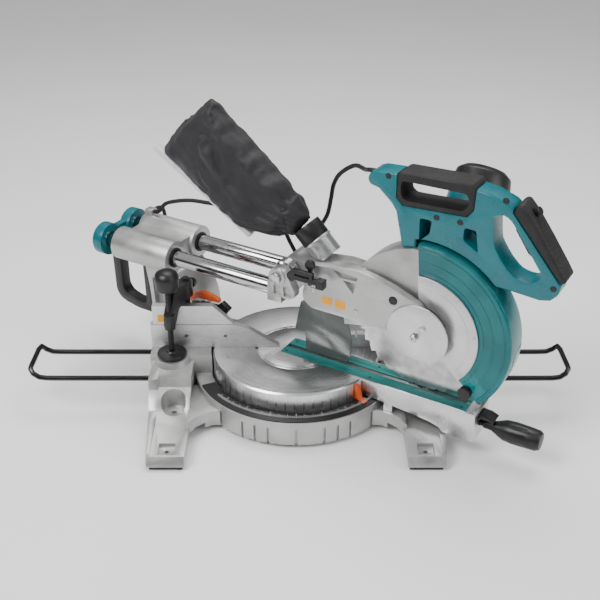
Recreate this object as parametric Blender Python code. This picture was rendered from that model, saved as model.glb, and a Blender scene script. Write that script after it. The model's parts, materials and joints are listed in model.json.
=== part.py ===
"""Sliding compound mitre saw, 260 mm class, with its head locked down and the arm swung right.

Every length in this file is in millimetres and MM turns it into metres when a mesh is made.
The saw frame has the mitre axis at X = Y = 0 and the floor at Z = 0; +X is the operator's
right and +Y points away from the operator. The arm frame is turned about the mitre axis so
that its +X runs out along the arm towards the operator and its +Y is the motor side.
"""
import math

import bmesh
import bpy
import mathutils

MM = 0.001
GAP = 0.3

# Driving dimensions
TABLE = 90.0                      # height of the table above the floor
MITRE_ANGLE = 59.0                # arm swung to the operator's right
TABLE_R = 154.0                   # turntable radius
RING_R = 187.0                    # outside of the base's ring
FENCE_X = 266.0                   # half width of the fence
ARM_HALF = 31.0                   # half width of the turntable's arm
ARM_END = 364.0                   # front of the turntable's arm
STOPS = (-45, -30, -22.5, -15, 0, 15, 22.5, 30, 45)   # detents of the mitre scale, degrees
KERF_FRONT = 345.0
POLE_R = 15.0
POLE_Y = 40.0                     # the two poles lie side by side
POLE_Z = TABLE + 140.0
POLE_REAR, POLE_FRONT = -412.0, -8.0
HOUSING_REAR, HOUSING_FRONT = -367.0, -238.0
PIVOT = (0.0, TABLE + 175.0)      # chop axis in the arm frame, X and Z
BLADE_R = 130.0
BLADE = (254.0, TABLE + 127.0)    # spindle axis in the arm frame, X and Z
CASE_R = 145.0
GUARD_R = 156.0
GUARD_FIRST, GUARD_SWEEP = -44.0, 139.0   # the guard's lower end and how far round it reaches
ROLLER = (343.0, TABLE + 40.0)
D_HOLE = [(355, 352), (361, 358), (372, 360), (384, 353), (439, 278), (438, 268), (421, 258), (397, 262),
          (378, 280), (360, 306)]   # opening of the rear handle, X and height above the table
MOTOR_R = 49.0
MOTOR_TILT = 55.0                 # the motor leans up, away from the blade
CORD_R = 3.9
COIL_R = 42.0                     # middle of the coil's turns
COIL_HALF = 12.0                  # half the bundle's thickness
COIL_AT = (-300.0, 110.0)
COIL_TOP_LANE = 49.8               # radius of the turn that the plug's end leaves
BOOT_START, BOOT_LENGTH = 31.0, 31.0   # strain relief of the plug, from the coil's side outwards
PLUG_LENGTH = 52.0


# ---------------------------------------------------------------- helpers

def clear_scene():
    for item in list(bpy.data.objects):
        bpy.data.objects.remove(item, do_unlink=True)


def material(name, colour, roughness=0.5, metallic=0.0, alpha=1.0):
    found = bpy.data.materials.get(name)
    if found:
        return found
    made = bpy.data.materials.new(name)
    made.use_nodes = True
    shader = made.node_tree.nodes["Principled BSDF"]
    shader.inputs["Base Color"].default_value = (*colour, 1.0)
    shader.inputs["Roughness"].default_value = roughness
    shader.inputs["Metallic"].default_value = metallic
    shader.inputs["Alpha"].default_value = alpha
    made.diffuse_color = (*colour, 1.0)
    return made


def cast_grey():
    return material("cast_grey", (0.55, 0.55, 0.55), 0.42, 0.7)


def machined():
    return material("machined_aluminium", (0.75, 0.75, 0.76), 0.25, 1.0)


def steel():
    return material("bright_steel", (0.7, 0.7, 0.7), 0.15, 1.0)


def black():
    return material("black_plastic", (0.02, 0.02, 0.022), 0.45)


def rubber():
    return material("black_rubber", (0.025, 0.025, 0.025), 0.8)


def teal():
    return material("teal_plastic", (0.0, 0.24, 0.29), 0.35)


def kerf_teal():
    return material("kerf_teal", (0.03, 0.24, 0.23), 0.5)


def clear_teal():
    return material("clear_teal", (0.0, 0.3, 0.38), 0.08, 0.0, 0.6)


def orange():
    return material("orange_red", (0.7, 0.1, 0.02), 0.4)


def smoked():
    return material("smoked_plastic", (0.12, 0.14, 0.13), 0.1, 0.0, 0.6)


def fabric():
    return material("black_fabric", (0.03, 0.028, 0.028), 0.9)


def clear_rail():
    return material("pale_rail", (0.8, 0.82, 0.8), 0.3)


def turned_to(axis):
    """The rotation that carries +Z to the given axis."""
    return mathutils.Vector((0, 0, 1)).rotation_difference(mathutils.Vector(axis).normalized())


def finish_mesh(name, bm):
    bmesh.ops.recalc_face_normals(bm, faces=bm.faces)
    for vertex in bm.verts:
        vertex.co *= MM
    mesh = bpy.data.meshes.new(name)
    bm.to_mesh(mesh)
    bm.free()
    return mesh


def box(low, high):
    bm = bmesh.new()
    bmesh.ops.create_cube(bm, size=1.0)
    for vertex in bm.verts:
        for i in range(3):
            vertex.co[i] = low[i] if vertex.co[i] < 0 else high[i]
    return bm


def prism(outline, low, high, across="y"):
    """An outline in the XZ plane (across y), the YZ plane (across x) or the XY plane (across z)."""
    place = {"y": lambda a, b, c: (a, c, b), "x": lambda a, b, c: (c, a, b), "z": lambda a, b, c: (a, b, c)}
    bm = bmesh.new()
    ring = [bm.verts.new(place[across](a, b, low)) for a, b in outline]
    face = bm.faces.new(ring)
    moved = bmesh.ops.extrude_face_region(bm, geom=[face])["geom"]
    offset = mathutils.Vector(place[across](0, 0, high - low))
    for item in moved:
        if isinstance(item, bmesh.types.BMVert):
            item.co += offset
    bmesh.ops.recalc_face_normals(bm, faces=bm.faces)
    return bm


def rod(start, end, radius, sides=24, end_radius=None):
    """A cylinder, or a cone when end_radius is given, from one point to another."""
    start, end = mathutils.Vector(start), mathutils.Vector(end)
    length = (end - start).length
    bm = bmesh.new()
    bmesh.ops.create_cone(bm, cap_ends=True, segments=sides, radius1=radius,
                          radius2=radius if end_radius is None else end_radius, depth=length)
    turn = turned_to(end - start).to_matrix().to_4x4()
    bmesh.ops.transform(bm, matrix=mathutils.Matrix.Translation((start + end) / 2) @ turn, verts=bm.verts)
    return bm


def turned(profile, origin, axis, sides=32, sweep=360.0, first=0.0):
    """A (radius, height) profile turned about an axis; a closed profile when no point is on it."""
    bm = bmesh.new()
    full = sweep >= 360.0
    count = sides if full else sides + 1
    rings = []
    for k in range(count):
        angle = math.radians(first + sweep * k / sides)
        rings.append([bm.verts.new((r * math.cos(angle), r * math.sin(angle), h)) for r, h in profile])
    size = len(profile)
    for k in range(sides):
        one, two = rings[k], rings[(k + 1) % count]
        for j in range(size):
            bm.faces.new((one[j], two[j], two[(j + 1) % size], one[(j + 1) % size]))
    if not full:
        bm.faces.new(rings[0])
        bm.faces.new(list(reversed(rings[-1])))
    bmesh.ops.remove_doubles(bm, verts=bm.verts, dist=1e-4)
    bmesh.ops.dissolve_degenerate(bm, edges=bm.edges, dist=1e-5)
    turn = turned_to(axis).to_matrix().to_4x4()
    bmesh.ops.transform(bm, matrix=mathutils.Matrix.Translation(origin) @ turn, verts=bm.verts)
    bmesh.ops.recalc_face_normals(bm, faces=bm.faces)
    return bm


def wheel(profile, centre, first=0.0, sweep=360.0, sides=32):
    """A (radius, Y) profile turned about an axis along Y, with angles from +X towards +Z."""
    bm = turned(profile, (0, 0, 0), (0, 0, 1), sides, sweep, first)
    spin = mathutils.Matrix(((1, 0, 0, centre[0]), (0, 0, 1, 0), (0, 1, 0, centre[1]), (0, 0, 0, 1)))
    bmesh.ops.transform(bm, matrix=spin, verts=bm.verts)
    bmesh.ops.recalc_face_normals(bm, faces=bm.faces)
    return bm


def at_table(points):
    """Outline points given with their height above the table."""
    return [(x, z + TABLE) for x, z in points]


def arc(centre, radius, start, end, steps):
    """Points on an arc, angles in degrees from +X towards +Z (or +Y)."""
    points = []
    for k in range(steps + 1):
        angle = math.radians(start + (end - start) * k / steps)
        points.append((centre[0] + radius * math.cos(angle), centre[1] + radius * math.sin(angle)))
    return points


def rounded(points, radius, steps=4):
    """An outline whose corners are rounded to the given radius."""
    result = []
    count = len(points)
    for i in range(count):
        here = mathutils.Vector(points[i])
        back = (mathutils.Vector(points[i - 1]) - here)
        ahead = (mathutils.Vector(points[(i + 1) % count]) - here)
        reach = min(radius, back.length * 0.45, ahead.length * 0.45)
        start, end = here + back.normalized() * reach, here + ahead.normalized() * reach
        for k in range(steps + 1):
            u = k / steps
            point = start * (1 - u) ** 2 + here * (2 * u * (1 - u)) + end * u ** 2
            result.append((point.x, point.y))
    return result


def place(name, bm, look, parent, smooth=35.0):
    mesh = finish_mesh(name, bm)
    made = bpy.data.objects.new(name, mesh)
    bpy.context.scene.collection.objects.link(made)
    made.parent = parent
    if look:
        mesh.materials.append(look)
    mesh.shade_smooth()
    mesh.set_sharp_from_angle(angle=math.radians(smooth))
    return made


def combine(target, bm, operation):
    helper = place(f"{target.name}_{operation.lower()}_{len(target.modifiers)}", bm, None, target.parent)
    helper.hide_render = True
    helper.display_type = "WIRE"
    step = target.modifiers.new(operation.title(), "BOOLEAN")
    step.operation = operation
    step.object = helper
    step.solver = "EXACT"


def add(target, *pieces):
    for bm in pieces:
        combine(target, bm, "UNION")


def cut(target, *pieces):
    for bm in pieces:
        combine(target, bm, "DIFFERENCE")


def bevelled(target, width, angle=40.0):
    step = target.modifiers.new("Bevel", "BEVEL")
    step.width = width * MM
    step.segments = 1
    step.limit_method = "ANGLE"
    step.angle_limit = math.radians(angle)


def smooth_path(points, spacing):
    """Points about one spacing apart along a Catmull-Rom curve through the given points."""
    vectors = [mathutils.Vector(p) for p in points]
    padded = [vectors[0] * 2 - vectors[1]] + vectors + [vectors[-1] * 2 - vectors[-2]]
    fine = []
    for i in range(1, len(padded) - 2):
        p0, p1, p2, p3 = padded[i - 1:i + 3]
        for k in range(16):
            u = k / 16
            fine.append(0.5 * ((2 * p1) + (p2 - p0) * u + (2 * p0 - 5 * p1 + 4 * p2 - p3) * u ** 2
                               + (3 * p1 - p0 - 3 * p2 + p3) * u ** 3))
    fine.append(vectors[-1])
    total = sum((b - a).length for a, b in zip(fine, fine[1:]))
    count = max(2, round(total / spacing))
    result, walked, target = [fine[0]], 0.0, total / count
    for a, b in zip(fine, fine[1:]):
        step = (b - a).length
        while walked + step >= target * len(result) and len(result) < count:
            result.append(a.lerp(b, (target * len(result) - walked) / step))
        walked += step
    result.append(fine[-1])
    return result


def tube(name, points, radius, look, parent, resolution=2, spacing=18.0):
    """A round cord or wire along a smooth curve through the points."""
    data = bpy.data.curves.new(name, "CURVE")
    data.dimensions = "3D"
    data.bevel_depth = radius * MM
    data.bevel_resolution = resolution
    data.use_fill_caps = True
    path = smooth_path(points, spacing)
    spline = data.splines.new("POLY")
    spline.points.add(len(path) - 1)
    for point, place_at in zip(spline.points, path):
        point.co = (*(place_at * MM), 1.0)
    data.materials.append(look)
    made = bpy.data.objects.new(name, data)
    bpy.context.scene.collection.objects.link(made)
    made.parent = parent
    return made


def empty(name, parent=None, at=(0, 0, 0), turn=0.0):
    made = bpy.data.objects.new(name, None)
    bpy.context.scene.collection.objects.link(made)
    made.parent = parent
    made.location = mathutils.Vector(at) * MM
    made.rotation_euler = (0, 0, math.radians(turn))
    return made


# ---------------------------------------------------------------- base

def base_casting(root):
    ring = [(158, 14), (RING_R - 6, 8), (RING_R, 8), (RING_R, 53), (158, 53)]
    made = place("base_casting", turned(ring, (0, 0, 0), (0, 0, 1), 48), cast_grey(), root)
    add(made, turned([(17, 14), (160, 14), (160, 22), (17, 22)], (0, 0, 0), (0, 0, 1), 24))
    for side in (-1, 1):
        add(made, base_wing(side), base_leg(side), base_rib(side), base_web(side))
    cut(made, turned([(1, 22.6), (157, 22.6), (157, 120), (1, 120)], (0, 0, 0), (0, 0, 1), 48))
    for side in (-1, 1):
        add(made, rod((side * 226, -28, 38), (side * 226, -28, TABLE), 43, 28, 31))
        cut(made, leg_arch(side))
        cut(made, prism([(-88, 30), (-88, 40), (-40, 62), (20, 62), (20, 30)], side * 196, side * 243, "x"))
        cut(made, rod((side * 216, -118, 28), (side * 216, -118, 90), 22, 20))
        cut(made, rod((side * 216, -118, 20), (side * 216, -118, 60), 5, 12))
        cut(made, foot_recess(side), rod((side * 218, -219, 4), (side * 218, -219, 60), 4, 12))
        cut(made, rod((side * 200, 26, 54), (side * 200, 26, TABLE + 5), 6.3, 16))
        for start, y in ((178, 15), (205, -73)):
            cut(made, rod((side * start, y, 70), (side * 290, y, 70), 5.4, 16))
        taper = [(side * (FENCE_X + 4), -92), (side * 262, -92), (side * 250, -252),
                 (side * (FENCE_X + 4), -252)]
        cut(made, prism(taper, -1, 100, "z"))
    for stop in STOPS:
        angle = math.radians(stop - 90)
        across = mathutils.Vector((-math.sin(angle), math.cos(angle), 0))
        out = mathutils.Vector((math.cos(angle), math.sin(angle), 0))
        corners = [out * r + across * w for r, w in ((RING_R - 5, -2.4), (RING_R + 5, -2.4),
                                                     (RING_R + 5, 2.4), (RING_R - 5, 2.4))]
        cut(made, prism([(c.x, c.y) for c in corners], 4, 40, "z"))
    return made


def base_wing(side):
    """The side table with the turntable's bay cut out of it later."""
    outline = [(side * 140, -30), (side * FENCE_X, -30), (side * FENCE_X, 40), (side * 140, 40)]
    return prism(outline, 42, TABLE, "z")


def base_leg(side):
    """The casting from the side table to the front foot; the right one is lower, for the arm to pass."""
    top = [(-58, 80), (-66, 50), (-110, 46)] if side > 0 else [(-84, 79), (-93, 64), (-116, 56)]
    outline = [(40, 0), (40, 62), (-28, 80)] + top + [(-128, 40), (-150, 30), (-238, 24), (-247, 8), (-8, 8),
                                                      (-2, 0)]
    return prism(outline, side * RING_R, side * 262, "x")


def base_rib(side):
    """The outer rib that holds the front wire of the holder."""
    outline = [(-20, 10), (-20, 80), (-92, 80), (-104, 48), (-118, 40), (-150, 35), (-236, 27), (-246, 10)]
    return prism(outline, side * 245, side * 262, "x")


def base_web(side):
    """The web between ring and leg."""
    outline = [(side * 140, -60), (side * 190, -50), (side * 190, -172), (side * 176, -150),
               (side * 150, -132), (side * 120, -130)]
    return prism(outline, 10, 40, "z")


def leg_arch(side):
    outline = [(-172, -1), (-164, 16), (-140, 20), (-60, 26), (-24, 22), (-10, -1)]
    return prism(outline, side * 160, side * 280, "x")


def foot_recess(side):
    """The shallow recess for a bench screw in the top of the front foot."""
    low, high = sorted((side * 204, side * 232))
    return box((low, -233, 19), (high, -205, 60))


def foot_pads(root):
    for name, side in (("left", -1), ("right", 1)):
        low, high = sorted((side * 190, side * 246))
        place(f"foot_pad_front_{name}", box((low, -243, 0), (high, -192, 8 - GAP)), rubber(), root)


def mitre_scale(root):
    profile = [(159, 53 + GAP), (185, 53 + GAP), (185, 55), (159, 55)]
    place("mitre_scale", turned(profile, (0, 0, 0), (0, 0, 1), 40, 134, -157), black(), root)


def lower_fences(root):
    left = [(-FENCE_X, 0), (-32, 0), (-32, 2), (-59, 20), (-87, 38), (-114, 47), (-FENCE_X, 47)]
    right = [(18, 0), (FENCE_X, 0), (FENCE_X, 47), (150, 47), (125, 27), (65, 25.5)]
    for name, outline, holes, run in (("fence_left", left, (-202, -130), (-262, -166)),
                                      ("fence_right", right, (110, 202), (166, 262))):
        raised = [(x, z + TABLE + GAP) for x, z in outline]
        made = place(name, prism(raised, 0, 13), machined(), root)
        add(made, box((run[0], 8, TABLE + GAP), (run[1], 34, TABLE + 9)))
        for x in holes:
            cut(made, rod((x, -2, TABLE + 24), (x, 15, TABLE + 24), 3.4, 16))
        for x in (run[0] + 14, run[1] - 34):
            cut(made, rod((x, 24, TABLE - 2), (x, 24, TABLE + 12), 3.2, 12))
        if name == "fence_left":
            cut(made, rod((-200, 26, TABLE - 2), (-200, 26, TABLE + 12), 6.6, 16))


def sub_fences(root):
    """The upper fences slide outwards in a rail behind the lower ones."""
    for name, side in (("sub_fence_left", -1), ("sub_fence_right", 1)):
        outline = [(side * 261, 48), (side * 261, 86), (side * 151, 86), (side * 114, 48)]
        raised = [(x, z + TABLE + GAP) for x, z in outline]
        made = place(name, prism(raised, 0, 13), machined(), root)
        low, high = sorted((side * 252, side * 172))
        add(made, box((low, 12, TABLE + 20), (high, 19, TABLE + 70)))
        cut(made, box((low - 1, -1, TABLE + 10), (high + 1, 13.4, TABLE + 47 + 2 * GAP)))


def vise(root):
    foot, top = (-226, -28), TABLE + 132
    post = place("vise_post", rod((-200, 26, 56), (-200, 26, top), 6, 20), black(), root)
    post_groove = rod((-200, 26, top - 4), (-200, 26, top - 2), 9, 20)
    cut(post, post_groove)
    add(post, rod((-200, 26, top - 5), (-200, 26, top - 1), 4.6, 20))
    along = mathutils.Vector((-200 - foot[0], 26 - foot[1])).normalized()
    turn = math.degrees(math.atan2(along.y, along.x))
    reach = (mathutils.Vector((-200, 26)) - mathutils.Vector(foot)).length
    frame = empty("vise_frame", root, (foot[0], foot[1], 0), turn)
    outline = [(-9, TABLE + 60), (6, TABLE + 56), (22, TABLE + 88), (reach + 8, TABLE + 98),
               (reach + 12, TABLE + 126), (12, TABLE + 128), (-8, TABLE + 84)]
    arm = place("vise_arm", prism(rounded(outline, 5, 2), -7, 7), black(), frame)
    add(arm, rod((0, 0, TABLE + 57), (0, 0, TABLE + 86), 10, 20))
    add(arm, rod((reach, 0, TABLE + 96), (reach, 0, TABLE + 127), 12, 20))
    cut(arm, rod((0, 0, TABLE + 50), (0, 0, TABLE + 137), 5.6, 20))
    cut(arm, rod((reach, 0, TABLE + 90), (reach, 0, TABLE + 137), 6.3, 20))
    cut(arm, rod((reach, 0, TABLE + 112), (reach + 16, 0, TABLE + 112), 3.4, 12))
    knob = place("vise_clamp_knob", rod((reach + 6.6, 0, TABLE + 112), (reach + 16, 0, TABLE + 112), 3, 12),
                 black(), frame)
    add(knob, rod((reach + 13.5, 0, TABLE + 112), (reach + 24, 0, TABLE + 112), 9, 10))
    screw = place("vise_screw", rod((*foot, TABLE + 12), (*foot, TABLE + 142), 5, 16), black(), root)
    dome = [(0, 137), (19, 137), (21, 141), (22, 160), (19, 168), (11, 173), (0, 174)]
    add(screw, turned([(r, z + TABLE) for r, z in dome], (*foot, 0), (0, 0, 1), 16))
    plate = [(0, 3), (26, 3), (27, 5), (26, 8), (10, 9), (8, 11.5), (0, 11.5)]
    place("vise_plate", turned([(r, z + TABLE) for r, z in plate], (*foot, 0), (0, 0, 1), 32), black(), root)


def wire_holders(root):
    """U-shaped wire holders whose ends rise to the height of the table."""
    for name, side, end in (("wire_holder_left", -1, 476), ("wire_holder_right", 1, 487)):
        back = [(side * 194, 15, 70), (side * 300, 15, 70), (side * (end - 44), 15, 70)]
        front = [(side * (end - 44), -73, 70), (side * 300, -73, 70), (side * 212, -73, 70)]
        rise = [(side * (end - 16), 15, 72), (side * (end - 6), 15, 80), (side * (end - 2), 12, 85)]
        turn = [(side * end, 6, 85), (side * end, -29, 85), (side * end, -64, 85)]
        fall = [(side * (end - 2), -70, 85), (side * (end - 6), -73, 80), (side * (end - 16), -73, 72)]
        tube(name, back + rise + turn + fall + front, 5, black(), root, 1, 13.0)


# ---------------------------------------------------------------- turntable

def turntable(arm):
    disc = [(0, 26), (150, 26), (TABLE_R, 34), (TABLE_R, 87), (TABLE_R - 3, TABLE), (0, TABLE)]
    made = place("turntable", turned(disc, (0, 0, 0), (0, 0, 1), 60), machined(), arm)
    side = [(110, TABLE), (ARM_END - 4, TABLE), (ARM_END, TABLE - 4), (ARM_END, 35), (330, 34), (308, 36),
            (302, 43), (284, 48), (250, 52), (222, 54), (197, 56.5), (110, 60)]
    lug = [(197, 60), (197, 41), (213, 41), (213, 60)]
    add(made, prism(side, -ARM_HALF, ARM_HALF), prism(lug, -ARM_HALF, -5))
    rear = [(-120, 60), (-150, 56.5), (-195, 56.5), (-195, 78), (-120, TABLE - 1)]
    add(made, prism(rear, -36, 36), rod((-177, 0, TABLE), (-196, 0, TABLE), 33, 28))
    add(made, rod((-190.5, 0, TABLE), (-196, 0, TABLE), 40, 28))
    cut(made, box((-150, -60, TABLE), (-100, 60, 200)))
    cut(made, rod((-165, 0, TABLE), (-200, 0, TABLE), 10.5, 20))
    cut(made, turned([(70, TABLE - 2), (76, TABLE - 2), (76, TABLE + 3), (70, TABLE + 3)],
                     (0, 0, 0), (0, 0, 1), 36))
    cut(made, box((-18, -27.5, TABLE - 3), (KERF_FRONT + GAP, 27.5, TABLE + 2)))
    cut(made, box((-18, -9, 62), (KERF_FRONT - 8, 9, TABLE + 2)))
    cut(made, turned([(0, 20), (17, 20), (17, 44), (0, 44)], (0, 0, 0), (0, 0, 1), 20))
    cut(made, rod((ARM_END + 3, 0, 58), (ARM_END - 38, 0, 58), 6.6, 16))
    cut(made, box((ARM_END - 12, -15, 72), (ARM_END + 2, 15, 82)))
    return made


def pivot_bolt(root):
    made = place("mitre_pivot_bolt", rod((0, 0, 10), (0, 0, 40), 16, 20), steel(), root)
    add(made, rod((0, 0, 8), (0, 0, 13.6), 24, 6))


def kerf_boards(arm):
    for name, side in (("kerf_board_left", -1), ("kerf_board_right", 1)):
        low, high = sorted((side * 5.2, side * 27))
        board = box((-17, low, TABLE - 3 + GAP), (KERF_FRONT, high, TABLE + GAP))
        made = place(name, board, kerf_teal(), arm)
        for x in (-9, 162, 335):
            cut(made, rod((x, side * 19, TABLE - 5), (x, side * 19, TABLE + 3), 2.6, 10))


def mitre_pointer(arm):
    """The orange pointer stands on the turntable's wall, over the scale."""
    frame = empty("pointer_frame", arm, (0, 0, 0), -16.0)
    outline = [(TABLE_R + GAP, 57), (168, 57), (178, 56), (178, 58), (166, 60), (158.5, 84),
               (TABLE_R + GAP, 84)]
    place("mitre_pointer", prism(outline, -4.5, 4.5), orange(), frame)


def mitre_grip(arm):
    """The grip screws into the arm's end and locks the turntable."""
    x, z = ARM_END, 58
    profile = [(0, -36), (6, -36), (6, 6), (8, 8), (8.5, 22), (12, 30), (18, 44), (19.5, 60), (19, 82),
               (18, 100), (15, 106), (0, 107)]
    made = place("mitre_grip", turned(profile, (x, 0, z), (1, 0, -0.0), 16), black(), arm)
    for k in range(8):
        angle = math.radians(45 * k + 22.5)
        y, up = 22.4 * math.cos(angle), 22.4 * math.sin(angle)
        cut(made, rod((x + 42, y, z + up), (x + 112, y, z + up), 4, 8))
    return made


def mitre_lock_lever(arm):
    outline = [(ARM_END - 11, 74), (ARM_END + 14, 73), (ARM_END + 26, 70), (ARM_END + 27, 74),
               (ARM_END + 14, 79), (ARM_END - 11, 80)]
    place("mitre_lock_lever", prism(outline, -13, 13), black(), arm)


# ---------------------------------------------------------------- bevel arm

def bevel_arm(arm):
    """Column and pole housing, one casting that tilts about the arm's axis at table height."""
    made = place("bevel_arm", rod((HOUSING_REAR, -POLE_Y, POLE_Z), (HOUSING_FRONT, -POLE_Y, POLE_Z), 31, 28),
                 cast_grey(), arm)
    add(made, rod((HOUSING_REAR, POLE_Y, POLE_Z), (HOUSING_FRONT, POLE_Y, POLE_Z), 31, 28))
    add(made, box((HOUSING_REAR + 6, -46, POLE_Z - 29), (HOUSING_FRONT - 6, 46, POLE_Z + 20)))
    add(made, box((-364, 32, POLE_Z + 24), (-348, 48, POLE_Z + 42)))
    column = at_table([(-199, 36), (-204, 60), (-236, 114), (-312, 114), (-303, 60), (-298, -10),
                       (-262, -42), (-222, -42), (-199, -20)])
    add(made, prism(rounded(column, 12, 2), -42, 42))
    add(made, rod((-196.6, 0, TABLE), (-230, 0, TABLE), 44, 32))
    for side in (-1, 1):
        y = side * POLE_Y
        cut(made, rod((HOUSING_REAR - 5, y, POLE_Z), (HOUSING_FRONT + 5, y, POLE_Z), POLE_R + 0.35, 24))
        ends = sorted((side * 30, side * 60))
        cut(made, prism(at_table([(-290, -34), (-216, -34), (-216, 40), (-246, 84), (-296, 84)]), *ends))
    cut(made, rod((-190, 0, TABLE), (-240, 0, TABLE), 10.5, 20))
    return made


def bevel_shaft(arm):
    made = place("bevel_shaft", rod((-179, 0, TABLE), (-239, 0, TABLE), 10, 20), steel(), arm)
    return made


def rear_grip(arm):
    """The black D-shaped grip below the rear of the pole housing."""
    outer = at_table([(-420, 92), (-410, 104), (-384, 108.4), (-322, 108.4), (-320, -18), (-364, -18),
                      (-406, -8), (-418, 8)])
    inner = at_table([(-400, 86), (-344, 92), (-342, 0), (-366, 0), (-392, 8), (-400, 22)])
    made = place("rear_grip", prism(rounded(outer, 9, 2), -12, 12), black(), arm)
    cut(made, prism(rounded(inner, 7, 2), -14, 14))


def bevel_stop_lever(arm):
    outline = at_table([(-216, 70), (-208, 78), (-192, 84), (-171, 93), (-150, 91), (-135, 86), (-133, 80),
                        (-160, 79), (-181, 77), (-196, 68), (-212, 64)])
    made = place("bevel_stop_lever", prism(outline, -53, -44.4), orange(), arm)
    add(made, rod((-212, -56, TABLE + 72), (-212, -44.4, TABLE + 72), 6, 12))


def bevel_lock_knob(arm):
    """The black lever nut on the front of the column that locks the bevel angle."""
    stem = rod((-198.6, -34, TABLE + 49), (-184, -34, TABLE + 49), 8, 14)
    made = place("bevel_lock_knob", stem, black(), arm)
    lever = at_table([(-190, 42), (-190, 58), (-152, 60), (-138, 73), (-121, 62), (-134, 44), (-160, 42)])
    add(made, prism(lever, -40, -29))
    return made


# ---------------------------------------------------------------- carriage

def poles(arm):
    for name, side in (("pole_left", -1), ("pole_right", 1)):
        place(name, rod((POLE_REAR, side * POLE_Y, POLE_Z), (POLE_FRONT, side * POLE_Y, POLE_Z), POLE_R, 24),
              steel(), arm)


def pole_end_cap(arm):
    rear, front = -416, -392
    edge = [(0, rear), (27, rear), (31, rear + 4), (31, front), (0, front)]
    made = place("pole_end_cap", turned(edge, (0, -POLE_Y, POLE_Z), (1, 0, 0), 24), teal(), arm)
    add(made, turned(edge, (0, POLE_Y, POLE_Z), (1, 0, 0), 24))
    add(made, box((rear + 4, -30, POLE_Z - 14), (front - 6, 30, POLE_Z + 16)))
    for side in (-1, 1):
        y = side * POLE_Y
        cut(made, rod((POLE_REAR - GAP, y, POLE_Z), (front + 5, y, POLE_Z), POLE_R + GAP, 24))
    return made


def pivot_bracket(arm):
    """The casting at the front of the poles, with an ear each side for the chop axis."""
    x, z = PIVOT
    made = place("pivot_bracket", box((-24, -58, POLE_Z - 18), (4, 58, POLE_Z + 20)), cast_grey(), arm)
    add(made, box((-24, 50, 226), (-8, 80, 244)))
    for side in (-1, 1):
        ear = [(-14, POLE_Z - 4), (28, POLE_Z - 4), (35, POLE_Z + 8), (18, z + 10), (8, z + 16), (-8, z + 16),
               (-16, z + 8)]
        ends = sorted((side * 62, side * 44))
        add(made, prism(rounded(ear, 5, 1), *ends))
        add(made, rod((x, side * 43, z), (x, side * 66, z), 16, 24))
        y = side * POLE_Y
        cut(made, rod((-40, y, POLE_Z), (POLE_FRONT + GAP, y, POLE_Z), POLE_R + GAP, 24))
    cut(made, rod((x, -80, z), (x, 80, z), 8 + GAP, 20))
    cut(made, rod((x, -42.8, z), (x, 42.8, z), 27, 24))
    for outline in ([(-9, POLE_Z), (7, POLE_Z), (4, POLE_Z + 16), (-9, POLE_Z + 18)],
                    [(12, POLE_Z), (26, POLE_Z), (30, POLE_Z + 7), (20, POLE_Z + 22), (10, POLE_Z + 17)]):
        cut(made, prism(outline, -70, -56))
    return made


def pivot_shaft(arm):
    x, z = PIVOT
    made = place("pivot_shaft", rod((x, -68, z), (x, 68, z), 8, 20), steel(), arm)
    add(made, rod((x, -72, z), (x, -66 - GAP, z), 10, 6))


def return_spring(arm):
    """The torsion spring round the chop axis, as its outer sleeve shape."""
    x, z = PIVOT
    coils, pitch, first = 4, 4.6, -42
    profile = [(18.3, first), (19.8, first)]
    for k in range(coils):
        profile += [(21, first + (k + 0.5) * pitch), (19.8, first + (k + 1) * pitch)]
    profile += [(18.3, first + coils * pitch)]
    place("return_spring", wheel(profile, (x, z), sides=20), steel(), arm)


def stopper_arm(arm):
    """The lever and its bolt that limit how deep the blade goes."""
    x, y, z = 30, -72, PIVOT[1] + 14
    made = place("stopper_arm", box((x, y, z - 5), (x + 62, y + 8, z + 4)), black(), arm)
    add(made, box((x + 4, y, z + 2), (x + 44, y + 8, z + 14)), rod((x + 3, y, z), (x + 3, y + 8, z), 9, 14))
    add(made, box((x + 52, y - 3, z - 9), (x + 66, y + 11, z + 7)))
    cut(made, box((x + 10, y - 1, z + 3), (x + 38, y + 9, z + 7)))


# ---------------------------------------------------------------- head

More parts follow.
